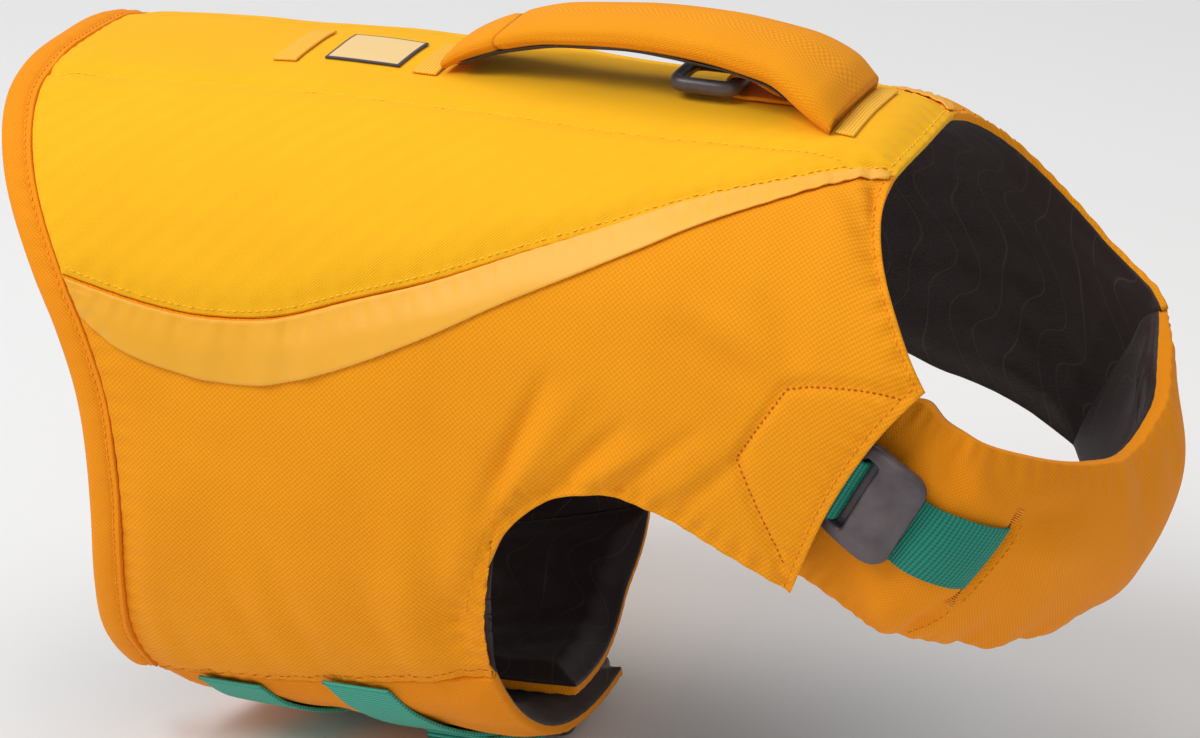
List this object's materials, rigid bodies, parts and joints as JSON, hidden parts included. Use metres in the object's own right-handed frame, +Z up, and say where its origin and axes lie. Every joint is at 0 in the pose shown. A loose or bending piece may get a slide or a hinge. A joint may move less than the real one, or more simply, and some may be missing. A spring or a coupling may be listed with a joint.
{
  "type": "dog life jacket",
  "caption": "Padded life jacket for a dog, filled out as if worn: curved foam back and sides, lapped belly flaps, chest band, grab handle and leash ring.",
  "frame": {"origin": "the inside of the back on the midline, where the wearer's back carries the jacket", "axes": "+X toward the wearer's head, +Y to the wearer's left side, +Z up"},
  "size_m": [0.4076, 0.1936, 0.2809],
  "materials": {
    "yellow_cloth": "fine woven nylon",
    "orange_cloth": "oxford woven nylon",
    "satin_trim": "satin-faced reflective cloth",
    "pale_tape": "ribbed tape",
    "dark_lining": "smooth dark taffeta",
    "teal_webbing": "ribbed nylon webbing",
    "dark_plastic": "satin moulded acetal",
    "label_cloth": "woven label"
  },
  "bodies": {
    "jacket": {"back_panel": "yellow_cloth", "lining_back": "dark_lining", "side_right": "orange_cloth", "lining_right": "dark_lining", "side_left": "orange_cloth", "lining_left": "dark_lining", "trim_right": "satin_trim", "trim_left": "satin_trim", "hem_binding": "orange_cloth", "belly_right": "orange_cloth", "lining_belly_right": "dark_lining", "belly_left": "orange_cloth", "lining_belly_left": "dark_lining", "chest_band": "orange_cloth", "lining_chest": "dark_lining", "rear_tape": "pale_tape", "handle_tape_rear": "pale_tape", "handle_tape_front": "pale_tape", "label": "label_cloth", "handle_end_rear": "orange_cloth", "handle_grip": "orange_cloth", "handle_under": "dark_lining", "ring_loop": "orange_cloth", "chest_strap": "teal_webbing", "chest_buckle": "dark_plastic", "chest_loop": "teal_webbing", "belly_strap_rear_right": "teal_webbing", "belly_strap_rear_left": "teal_webbing", "belly_buckle_rear": "dark_plastic", "belly_strap_front_right": "teal_webbing", "belly_strap_front_left": "teal_webbing", "belly_buckle_front": "dark_plastic", "strap_tail": "teal_webbing"},
    "ring": {"leash_ring": "dark_plastic"}
  },
  "joints": [
    {"name": "ring_swing", "type": "hinge", "parent": "jacket", "child": "ring", "pos_m": [0.1093, 0, 0.0155], "axis": [0, 1, 0], "range_deg": [-4, 10]}
  ]
}
